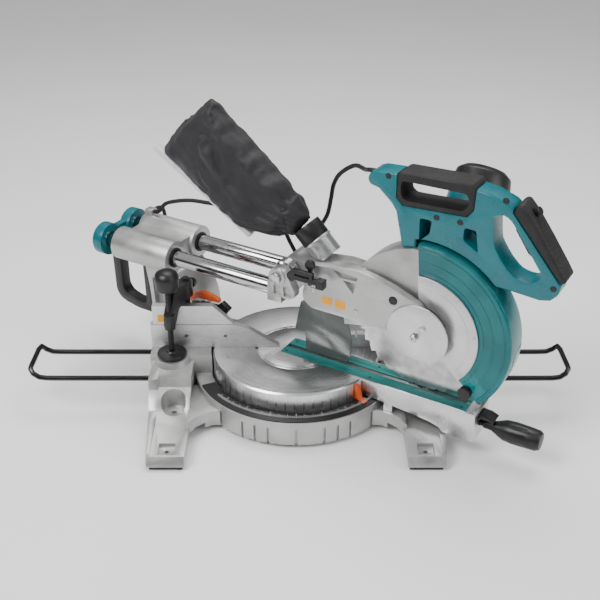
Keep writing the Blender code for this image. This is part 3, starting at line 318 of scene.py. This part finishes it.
MATERIALS = {
    CAST: ("base_casting", "bevel_arm", "pivot_bracket", "head_casting", "gear_housing"),
    TURNED: ("turntable",),
    BRUSHED: ("fence_left", "fence_right", "sub_fence_left", "sub_fence_right", "centre_cover", "guard_ring",
              "dust_nozzle"),
    STEEL: ("mitre_pivot_bolt", "bevel_shaft", "pole_left", "pole_right", "pivot_shaft", "return_spring",
            "blade_spindle"),
    BLADE_STEEL: ("saw_blade",),
    BLACK: ("mitre_scale", "vise_post", "vise_arm", "vise_clamp_knob", "vise_plate", "vise_screw",
            "mitre_grip", "mitre_lock_lever", "rear_grip", "bevel_lock_knob", "stopper_arm", "motor_cap",
            "trigger", "lock_off_button", "bag_collar", "wing_screw", "guard_roller", "foot_pad_front_left",
            "foot_pad_front_right", "mains_plug"),
    GLOSS_BLACK: ("wire_holder_left", "wire_holder_right"),
    DOTTED: ("top_grip", "d_grip"),
    TEAL: ("pole_end_cap", "motor_housing", "handle_body"),
    KERF: ("kerf_board_left", "kerf_board_right"),
    GUARD: ("lower_guard",),
    ORANGE: ("mitre_pointer", "bevel_stop_lever"),
    SMOKED: ("rear_plate",),
    PALE: ("bag_rail",),
}


# Widths of the edge rounds that differ from the usual one.
USUAL_ROUND = 0.6
EDGE_ROUND = {"handle_body": 2.2, "top_grip": 1.8, "d_grip": 2.2, "head_casting": 1.0, "base_casting": 1.0,
              "rear_grip": 1.5, "mitre_grip": 1.5, "gear_housing": 1.2, "motor_housing": 1.0,
              "motor_cap": 1.5, "bevel_arm": 1.0, "turntable": 0.8, "bag_collar": 0.8, "mains_plug": 1.5,
              "pivot_bracket": 0.8, "pole_end_cap": 1.2, "lower_guard": 0.4, "guard_ring": 0.3,
              "rear_plate": 0.3, "mitre_scale": 0.3, "kerf_board_left": 0.3, "kerf_board_right": 0.3,
              "blade_spindle": 0.4}
# Nodes that keep their plain CAD shape: edge rounds spoil the thin ones, and the spring is wound anew.
PLAIN_NODES = ("return_spring", "fence_left", "fence_right", "sub_fence_left", "sub_fence_right",
               "saw_blade")


# ---------------------------------------------------------------- camera and light

def camera():
    data = bpy.data.cameras.new("camera")
    data.lens = 58.2
    data.sensor_width = 36.0
    item = bpy.data.objects.new("camera", data)
    item.location = (0.001, -1.52435, 1.0416)
    item.rotation_euler = (math.radians(60.7), 0, 0)
    bpy.context.collection.objects.link(item)
    bpy.context.scene.camera = item


def area_light(name, place, size, power, target=(0, 0, 0.2)):
    data = bpy.data.lights.new(name, "AREA")
    data.shape = "RECTANGLE"
    data.size, data.size_y = size
    data.energy = power
    item = bpy.data.objects.new(name, data)
    item.location = place
    item.rotation_euler = (Vector(target) - Vector(place)).to_track_quat("-Z", "Y").to_euler()
    bpy.context.collection.objects.link(item)


def studio():
    area_light("key", (-1.3, -1.1, 2.0), (1.1, 1.1), 48)
    area_light("fill", (1.7, -0.9, 1.1), (1.0, 1.2), 14)
    area_light("top", (0.2, 0.7, 2.2), (1.8, 1.0), 34)
    world = bpy.data.worlds.new("studio")
    world.use_nodes = True
    sky = world.node_tree.nodes
    place = sky.new("ShaderNodeTexCoord")
    split = sky.new("ShaderNodeSeparateXYZ")
    ramp = sky.new("ShaderNodeValToRGB")
    for position, grey in ((0.0, 0.75), (0.1, 0.06), (0.32, 0.1), (0.5, 0.85), (0.8, 1.0)):
        stop = ramp.color_ramp.elements.new(position)
        stop.color = (grey, grey, grey, 1)
    for end in (-1, 0):
        ramp.color_ramp.elements.remove(ramp.color_ramp.elements[end])
    links = world.node_tree.links
    links.new(place.outputs["Generated"], split.inputs["Vector"])
    links.new(split.outputs["Z"], ramp.inputs["Fac"])
    links.new(ramp.outputs["Color"], sky["Background"].inputs["Color"])
    sky["Background"].inputs["Strength"].default_value = 0.6
    bpy.context.scene.world = world
    mesh = bpy.data.meshes.new("floor")
    side = 6.0
    corners = [(-side, -side, 0), (side, -side, 0), (side, side, 0), (-side, side, 0)]
    mesh.from_pydata(corners, [], [(0, 1, 2, 3)])
    floor = bpy.data.objects.new("floor", mesh)
    floor.location.z = -0.0002
    look = Look("floor_look", (0.95, 0.95, 0.95), 0.7)
    look.tint(look.spread(look.noise(2, 2), 0, 1), (0.94, 0.94, 0.94), (0.97, 0.97, 0.97))
    mesh.materials.append(look.material)
    bpy.context.collection.objects.link(floor)


# ---------------------------------------------------------------- pieces

def piece(name, mesh, look, body):
    """A mesh made in the row frame, as a piece that rides on a body."""
    item = bpy.data.objects.new(name, mesh)
    mesh.materials.append(look)
    bpy.context.collection.objects.link(item)
    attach(item, body)
    return item


def finished(bm, name, angle=30):
    """The bmesh as a mesh, smooth except at sharp edges."""
    bmesh.ops.recalc_face_normals(bm, faces=bm.faces)
    mesh = bpy.data.meshes.new(name)
    bm.to_mesh(mesh)
    bm.free()
    mesh.shade_smooth()
    mesh.set_sharp_from_angle(angle=math.radians(angle))
    return mesh


def facing(centre, normal):
    """A frame at a place in the row frame with its Z along the normal."""
    turn = Vector(normal).normalized().to_track_quat("Z", "Y").to_matrix().to_4x4()
    return Matrix.Translation(centre) @ turn


def lathe(profile, frame_at, sides=24):
    """A turned piece: (radius, height) points in millimetres about the frame's Z."""
    bm = bmesh.new()
    rings = []
    for radius, height in profile:
        if radius == 0:
            rings.append([bm.verts.new((0, 0, height * MM))])
            continue
        rings.append([bm.verts.new((radius * MM * math.cos(2 * math.pi * k / sides),
                                    radius * MM * math.sin(2 * math.pi * k / sides), height * MM))
                      for k in range(sides)])
    for low, high in zip(rings, rings[1:]):
        for k in range(sides):
            corners = [low[k % len(low)], low[(k + 1) % len(low)],
                       high[(k + 1) % len(high)], high[k % len(high)]]
            bm.faces.new(list(dict.fromkeys(corners)))
    bm.transform(frame_at)
    return bm


# ---------------------------------------------------------------- cords

def round_curve(name, points, diameter, look):
    """A round wire or cord along points in the row frame, in metres."""
    data = bpy.data.curves.new(name, "CURVE")
    data.dimensions = "3D"
    data.bevel_depth = diameter / 2
    data.bevel_resolution = 4
    data.use_fill_caps = True
    spline = data.splines.new("POLY")
    spline.points.add(len(points) - 1)
    for target, point in zip(spline.points, points):
        target.co = (*point, 1)
    data.materials.append(look)
    item = bpy.data.objects.new(name, data)
    bpy.context.collection.objects.link(item)
    return item


def wire(name, points, diameter, look, body):
    """A round wire that rides on a body."""
    item = round_curve(name, points, diameter, look)
    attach(item, body)
    return item


def as_mesh(item):
    """The curve's surface as a mesh object of the same name."""
    mesh = bpy.data.meshes.new_from_object(item)
    mesh.shade_smooth()
    name = item.name
    words = dict(item.items())
    bpy.data.objects.remove(item)
    made = bpy.data.objects.new(name, mesh)
    for key, value in words.items():
        made[key] = value
    bpy.context.collection.objects.link(made)
    return made


def lane(turn):
    """Radius and height of the coil's turn at a count of turns: three lanes across, layer on layer.

    Each change of lane is made earlier in its turn than the one before it, so no turn crosses the next.
    """
    lanes = [(49.8, 4.2), (42, 4.2), (34.2, 4.2), (34.2, 12.1), (42, 12.1), (49.8, 12.1), (49.8, 20.0)]
    zones = [0.82, 0.82, 0.64, 0.46, 0.46, 0.28]
    whole = min(int(turn), len(zones))
    if whole == len(zones):
        return Vector(lanes[whole])
    part = min(max((turn - whole - zones[whole]) / 0.18, 0), 1)
    return Vector(lanes[whole]).lerp(Vector(lanes[whole + 1]), part * part * (3 - 2 * part))


def coil_points():
    """The stored length of the mains cord, in the arm frame, wound clockwise from its motor side."""
    steps = 32
    points = []
    for k in range(int(COIL_TURNS * steps) + 1):
        radius, height = lane(k / steps)
        angle = math.radians(90) - 2 * math.pi * k / steps
        points.append((COIL_AT[0] + radius * math.cos(angle), COIL_AT[1] + radius * math.sin(angle), height))
    return points


def cord(name, points):
    """A free run of the cord from one body to the next, as a mesh in the row frame."""
    path = [at(*point) for point in points]
    item = round_curve(name, path, CORD_DIAMETER, CORD)
    item = as_mesh(item)
    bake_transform(item)
    return item


def cords():
    """The mains cord in its three free runs: handle to pivot, pivot to rail housing, and housing to plug."""
    head = smooth_path([(152, 0, 468), (136, 2, 466), (118, 22, 456), (88, 42, 450), (56, 52, 426),
                        (40, 58, 400), (31, 66, 370), (18, 75, 330), (-6, 77, 290), (-15, 73, 264),
                        (-16, 72, 254), (-16, 72, 245)], 6)
    slide = smooth_path([(-27, 70, 234), (-38, 70, 236), (-54, 68, 262), (-72, 66, 292), (-112, 62, 311),
                         (-165, 57, 314), (-215, 53, 309), (-268, 50, 305), (-315, 43, 292), (-330, 40, 277),
                         (-338, 40, 268.5), (-346.4, 40, 268)], 6)
    coil_x, coil_y = COIL_AT
    mains = smooth_path([(-356, 49, 266), (-356, 58, 266), (-356, 68, 264), (-356, 78, 256), (-356, 84, 220),
                         (-358, 88, 150), (-366, 98, 80), (-376, 116, 30), (-377, 136, 9), (-364, 154, 5),
                         (-344, 165, 4.5), (coil_x - 26, coil_y + 57, 4.5),
                         (coil_x - 8, coil_y + 50.2, 4.2)], 6)
    tail = smooth_path([(coil_x + 49.8, coil_y, 20), (coil_x + 49.8, coil_y - 15, 16.5),
                        (coil_x + 49.8, coil_y - 31, 12)], 6)[1:]
    run = cord("cord_run_head", head)
    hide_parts("cord_head")
    run = cord("cord_run_slide", slide)
    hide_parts("cord_slide")
    points = [tuple(p) for p in mains] + coil_points() + [tuple(p) for p in tail]
    run = cord("cord_run_mains", points)
    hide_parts("cord_mains", "cord_coil")


def ties():
    """Two bands round the coil, each a rounded square loop that stands across it."""
    for number, turn in enumerate((200, 20)):
        angle = math.radians(turn)
        centre = at(COIL_AT[0] + COIL_RADIUS * math.cos(angle), COIL_AT[1] + COIL_RADIUS * math.sin(angle),
                    TIE_HEIGHT)
        outward = along(math.cos(angle), math.sin(angle), 0)
        points = []
        for k in range(TIE_STEPS + 1):
            u = 2 * math.pi * k / TIE_STEPS
            wide, high = (half * math.copysign(abs(reach) ** 0.5, reach)
                          for half, reach in zip(TIE_HALF_SIZE, (math.cos(u), math.sin(u))))
            points.append(centre + outward * wide * MM + Vector((0, 0, high * MM)))
        wire("cord_tie_%d" % number, points, 0.0022, BLACK, "table")


# ---------------------------------------------------------------- soft bag

def dust_bag():
    """The cloth bag: a slack, wrinkled skin blown up inside its CAD solid's space."""
    source = frame["nodes"]["dust_bag"]
    mesh = source.data.copy()
    item = bpy.data.objects.new("dust_bag_cloth", mesh)
    bpy.context.collection.objects.link(item)
    mesh.materials.clear()
    bpy.context.view_layer.update()
    remesh = item.modifiers.new("skin", "REMESH")
    remesh.mode = "VOXEL"
    remesh.voxel_size = BAG_VOXEL
    mesh = applied(item)
    mesh = blown(item)
    relax = item.modifiers.new("smooth", "SUBSURF")
    relax.levels = relax.render_levels = 1
    mesh = applied(item)
    creased(mesh)
    mesh.shade_smooth()
    mesh.materials.append(CLOTH)
    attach(item, "head")
    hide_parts("dust_bag")
    return item


def creased(mesh):
    """Gathers round the collar and long slack folds, pressed into the cloth along its normals."""
    mouth = at(*BAG_MOUTH)
    way = (bag_rail_middle() - mouth).normalized()
    side = way.cross(Vector((0, 0, 1))).normalized()
    up = side.cross(way)
    normals = [v.normal.copy() for v in mesh.vertices]
    for vertex, normal in zip(mesh.vertices, normals):
        out = vertex.co - mouth
        reach = out.dot(way)
        angle = math.atan2(out.dot(up), out.dot(side))
        gather = max(0.0, 1 - abs(reach - 0.045) / 0.055) * math.sin(13 * angle + 40 * reach)
        fold = noise.noise(vertex.co * 26 + Vector((0, 0, 30 * reach)))
        crinkle = noise.noise(vertex.co * 75)
        depth = 0.0022 * gather + 0.0032 * (fold - 0.25) + 0.0008 * crinkle - 0.001
        vertex.co += normal * min(depth, 0.0015)


def applied(item):
    """Puts the item's modifiers into its mesh."""
    bpy.context.view_layer.update()
    graph = bpy.context.evaluated_depsgraph_get()
    mesh = bpy.data.meshes.new_from_object(item.evaluated_get(graph))
    item.modifiers.clear()
    item.data = mesh
    return mesh


def blown(item, limit=0.006):
    """A cloth run with slack cloth and a little air, held at the collar and the rail."""
    mesh = item.data
    start = [v.co.copy() for v in mesh.vertices]
    mouth, rail = at(*BAG_MOUTH), bag_rail_middle()
    way = (rail - mouth).normalized()
    reach = (rail - mouth).length
    group = item.vertex_groups.new(name="held")
    held = [k for k, co in enumerate(start)
            if (co - mouth).dot(way) < 0.028 or (co - mouth).dot(way) > reach - 0.012]
    group.add(held, 1.0, "REPLACE")
    cloth = item.modifiers.new("cloth", "CLOTH")
    values = cloth.settings
    values.quality = 6
    values.mass = 0.25
    values.vertex_group_mass = "held"
    values.tension_stiffness = values.compression_stiffness = 18
    values.bending_stiffness = 0.35
    values.shrink_min = -0.07
    values.use_pressure = True
    values.uniform_pressure_force = 1.2
    values.effector_weights.gravity = 0.15
    cloth.collision_settings.use_collision = False
    cloth.point_cache.frame_start = 1
    cloth.point_cache.frame_end = CLOTH_FRAMES
    scene = bpy.context.scene
    for number in range(1, CLOTH_FRAMES + 1):
        scene.frame_set(number)
    mesh = applied(item)
    for vertex, before in zip(mesh.vertices, start):
        moved = vertex.co - before
        if moved.length > limit:
            vertex.co = before + moved * (limit / moved.length)
    return mesh


def bag_rail_middle():
    low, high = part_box("bag_rail")
    return (Vector(low) + Vector(high)) / 2


# ---------------------------------------------------------------- frame pieces

def body_of(node):
    bodies = frame["record"]["behaviour"]["bodies"]
    return next(body for body, nodes in bodies.items() if node in nodes)


def softened(name, look):
    """Stands in for a CAD node: the same shape with small rounds on its edges and smooth round faces."""
    bm = bmesh.new()
    bm.from_mesh(frame["nodes"][name].data)
    bmesh.ops.remove_doubles(bm, verts=bm.verts, dist=1e-6)
    bmesh.ops.dissolve_limit(bm, angle_limit=math.radians(0.5), verts=bm.verts, edges=bm.edges)
    mesh = bpy.data.meshes.new(name + "_fine")
    bm.to_mesh(mesh)
    bm.free()
    item = bpy.data.objects.new(name + "_fine", mesh)
    bpy.context.collection.objects.link(item)
    rounds = item.modifiers.new("rounds", "BEVEL")
    rounds.width = EDGE_ROUND.get(name, USUAL_ROUND) * MM
    rounds.segments = 2
    rounds.limit_method = "ANGLE"
    rounds.angle_limit = math.radians(38)
    mesh = applied(item)
    mesh.materials.clear()
    mesh.materials.append(look)
    mesh.shade_smooth()
    mesh.set_sharp_from_angle(angle=math.radians(38))
    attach(item, body_of(name))
    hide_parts(name)


def dress_frame():
    """Gives every CAD node its material, and each hard one its rounded edges."""
    for look, nodes in MATERIALS.items():
        for name in nodes:
            item = frame["nodes"][name]
            item.data.materials.clear()
            item.data.materials.append(look)
            if name not in PLAIN_NODES:
                softened(name, look)


# ---------------------------------------------------------------- small details

def near_side(node):
    """How far the node reaches to the arm's near side, in the arm frame."""
    across = along(0, 1, 0)
    return min((v.co - MITRE_AXIS).dot(across) for v in frame["nodes"][node].data.vertices) / MM


def screw(name, centre, normal, radius, body, look=None, height=1.2):
    """A domed screw head with a round socket, its foot just inside the surface it sits on."""
    r, h = radius, height
    place = facing(centre, normal)
    head = lathe([(0, -0.3), (r, -0.3), (r, 0.5 * h), (0.86 * r, 0.86 * h), (0.6 * r, h), (0.45 * r, h),
                  (0.42 * r, 0.3 * h), (0, 0.3 * h)], place, 24)
    return piece(name, finished(head, name), look or STEEL, body)


def recess(name, centre, normal, radius, body):
    """A dark counterbore with its screw at the bottom, drawn as a thin raised lip round a flat black well:
    the black is painted shade standing in for the hole's depth.
    """
    r = radius
    cup = lathe([(0, 0.12), (0.5 * r, 0.14), (0.52 * r, 0.35), (0.78 * r, 0.35), (0.86 * r, 0.12), (r, 0.5),
                 (1.1 * r, 0.4), (1.16 * r, -0.3), (0, -0.3)], facing(centre, normal), 24)
    # BLACK here is painted shade on a flat disc, in place of the shaded depth of the hole.
    return piece(name, finished(cup, name), BLACK, body)


def handle_screws():
    for k, (s, z) in enumerate(((180, 382), (265, 331), (304, 332), (372, 383), (459, 260))):
        recess("handle_screw_%d" % k, at(s, -20, TABLE + z), along(0, -1, 0), 4.4, "head")


def case_details():
    """Bolts of the case wall, its plugged hole, and the hub bolt of the centre cover."""
    near = along(0, -1, 0)
    for k, (s, z) in enumerate(((144, 141), (203, 131), (60, 160))):
        screw("case_bolt_%d" % k, at(s, CASE_SIDE, TABLE + z), near, 4.2, "head")
    recess("case_plug", at(211, CASE_SIDE, TABLE + 181), near, 6.2, "head")
    hub = near_side("centre_cover")
    screw("hub_bolt", at(BLADE[0], hub, BLADE[1]), near, 6.5, "head", height=2.4)
    ring = near_side("guard_ring")
    for k, turn in enumerate((82, 50, 10, -38)):
        angle = math.radians(turn)
        place = at(BLADE[0] + 96 * math.cos(angle), ring, BLADE[1] + 96 * math.sin(angle))
        screw("ring_boss_%d" % k, place, near, 3.2, "guard", BRUSHED, 1.6)


def rib(name, radius, n, first, sweep, diameter, look, body):
    """A round rib along an arc about the blade's axis."""
    points = []
    for k in range(41):
        angle = math.radians(first + sweep * k / 40)
        points.append(at(BLADE[0] + radius * math.cos(angle), n, BLADE[1] + radius * math.sin(angle)))
    wire(name, points, diameter * MM, look, body)


def guard_ribs():
    """Steps moulded along the guard's near face, and the machined step of its ring."""
    for k, (radius, diameter) in enumerate(((110, 1.6), (127, 1.2), (146, 2.0))):
        rib("guard_rib_%d" % k, radius, -27.6, -42, 134, diameter, GUARD, "guard")
    for k, radius in enumerate((86, 101)):
        rib("ring_step_%d" % k, radius, near_side("guard_ring"), -42, 134, 1.0, BRUSHED, "guard")


def scale_ticks():
    """White ticks on the mitre scale: every degree, longer at five and longest at fifteen."""
    bm = bmesh.new()
    for degree in range(-52, 53):
        long = 9.5 if degree % 15 == 0 else 7.5 if degree % 5 == 0 else 4.5
        wide = 0.75 if degree % 15 == 0 else 0.5
        turn = Matrix.Rotation(math.radians(degree - 90), 3, "Z")
        corners = []
        for radius, side in ((176.5, -1), (176.5, 1), (176.5 - long, 1), (176.5 - long, -1)):
            flat = turn @ Vector((radius, side * wide / 2, 60.12 - (radius - 166) / 6))
            corners.append(bm.verts.new(MITRE_AXIS + flat * MM))
        face = bm.faces.new(corners)
        raised = bmesh.ops.extrude_face_region(bm, geom=[face])["geom"]
        for item in raised:
            if isinstance(item, bmesh.types.BMVert):
                item.co.z -= 0.3 * MM
    piece("scale_ticks", finished(bm, "scale_ticks"), WHITE, "base")


def pole_seals():
    """Black wiper rings where the poles enter the housing."""
    for k, n in enumerate((-40, 40)):
        ring = lathe([(15.4, 0.1), (18.6, 0.1), (18.6, 2.4), (17.6, 3.4), (16.2, 3.4), (15.4, 2.6),
                      (15.4, 0.1)], facing(at(-238, n, 230), along(1, 0, 0)), 40)
        piece("pole_seal_%d" % k, finished(ring, "pole_seal"), BLACK, "column")


def return_spring():
    """The wound spring on the pivot, in the space of its CAD ring."""
    across = along(0, 1, 0)
    places = [v.co for v in frame["nodes"]["return_spring"].data.vertices]
    reach = [(co - MITRE_AXIS).dot(across) / MM for co in places]
    centre = at(0, 0, 265)
    radius = max(((co - centre) - across * (co - centre).dot(across)).length for co in places) / MM - 1.6
    first, last = min(reach) + 1.7, max(reach) - 1.7
    turns = (last - first) / 3.5
    steps = int(turns * 24)
    points = []
    for k in range(steps + 1):
        angle = 2 * math.pi * turns * k / steps
        points.append(at(radius * math.cos(angle), first + (last - first) * k / steps,
                         265 + radius * math.sin(angle)))
    item = wire("return_spring_coils", points, 0.0031, STEEL, "carriage")
    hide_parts("return_spring")


def vise_thread():
    """The thread on the hold-down's screw."""
    low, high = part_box("vise_screw")
    centre, radius = (low + high) / 2, VISE_SCREW_RADIUS * MM
    first, last = VISE_THREAD
    turns = (last - first) / VISE_PITCH
    points = []
    for k in range(int(turns * 16) + 1):
        angle = 2 * math.pi * k / 16
        points.append(Vector((centre.x + radius * math.cos(angle), centre.y + radius * math.sin(angle),
                              (first + VISE_PITCH * k / 16) * MM)))
    wire("vise_thread", points, 0.0011, GLOSS_BLACK, "vise_spindle")


def blank_plates():
    """Plain amber plates with no marks, where such saws carry a notice."""
    low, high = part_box("sub_fence_left")
    centre = Vector((low.x + 0.026, low.y, (low.z + high.z) / 2 + 0.008))
    plate("fence_plate", Matrix.Translation(centre) @ Matrix.Rotation(math.radians(90), 4, "X"), 34, 15,
          "upper_fence_left")
    turn = Matrix((along(1, 0, 0), Vector((0, 0, 1)), along(0, -1, 0))).transposed().to_4x4()
    for k, s in enumerate((89, 114)):
        plate("case_plate_%d" % k, Matrix.Translation(at(s, CASE_SIDE, TABLE + 145)) @ turn, 20, 15, "head")


def plate(name, place, wide, high, body):
    bm = bmesh.new()
    corner = 1.6
    outline = []
    for x, y, start in ((1, 1, 0), (-1, 1, 90), (-1, -1, 180), (1, -1, 270)):
        for k in range(5):
            angle = math.radians(start + 22.5 * k)
            outline.append((x * (wide / 2 - corner) + corner * math.cos(angle),
                            y * (high / 2 - corner) + corner * math.sin(angle)))
    face = bm.faces.new([bm.verts.new((x * MM, y * MM, -0.2 * MM)) for x, y in outline])
    for item in bmesh.ops.extrude_face_region(bm, geom=[face])["geom"]:
        if isinstance(item, bmesh.types.BMVert):
            item.co.z += 0.45 * MM
    bm.transform(place)
    piece(name, finished(bm, name), AMBER, body)


camera()
studio()
dress_frame()
cords()
ties()
dust_bag()
handle_screws()
case_details()
guard_ribs()
scale_ticks()
pole_seals()
return_spring()
vise_thread()
blank_plates()
